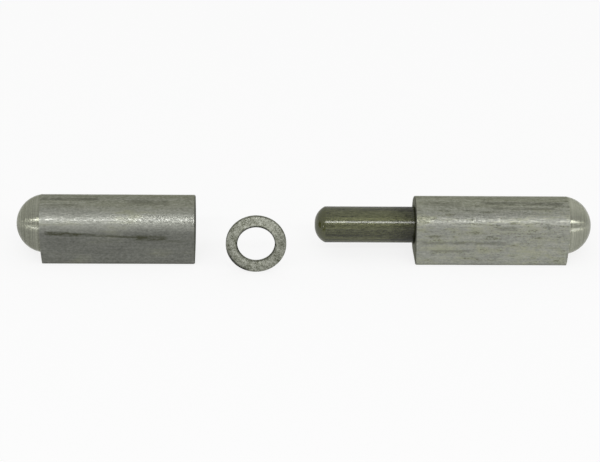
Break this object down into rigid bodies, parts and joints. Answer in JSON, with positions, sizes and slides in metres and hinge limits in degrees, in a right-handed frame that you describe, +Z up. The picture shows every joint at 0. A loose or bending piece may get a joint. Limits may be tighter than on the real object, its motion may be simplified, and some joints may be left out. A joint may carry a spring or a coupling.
{
  "type": "weld-on hinge",
  "caption": "Steel weld-on lift-off hinge with drop-shaped, dome-ended leaves, a round pin and a flat washer, shown taken apart.",
  "frame": {"origin": "middle of the male leaf's lower weld flat, which lies on the floor", "axes": "+X along the pin, from the female leaf towards the male leaf's dome; the leaves' corners point to -Y; +Z up off the weld flats"},
  "size_m": [0.159, 0.022, 0.0164],
  "materials": {
    "leaf_steel": "bare drawn bar, lightly oiled, turned ends",
    "pin_steel": "dark oiled, fine lengthwise drawing lines",
    "washer_steel": "stamped and tumbled"
  },
  "bodies": {
    "male_half": {"male_leaf": "leaf_steel", "washer": "washer_steel"},
    "pin": {"hinge_pin": "pin_steel"},
    "female_half": {"female_leaf": "leaf_steel"}
  },
  "joints": [
    {"name": "leaf_turn", "type": "hinge", "parent": "male_half", "child": "pin", "pos_m": [-0.02121, 0.00445, 0.008], "axis": [-1, 0, 0], "continuous": true},
    {"name": "leaf_slide", "type": "slide", "parent": "pin", "child": "female_half", "axis": [1, 0, 0], "range_m": [0, 0.059]}
  ]
}
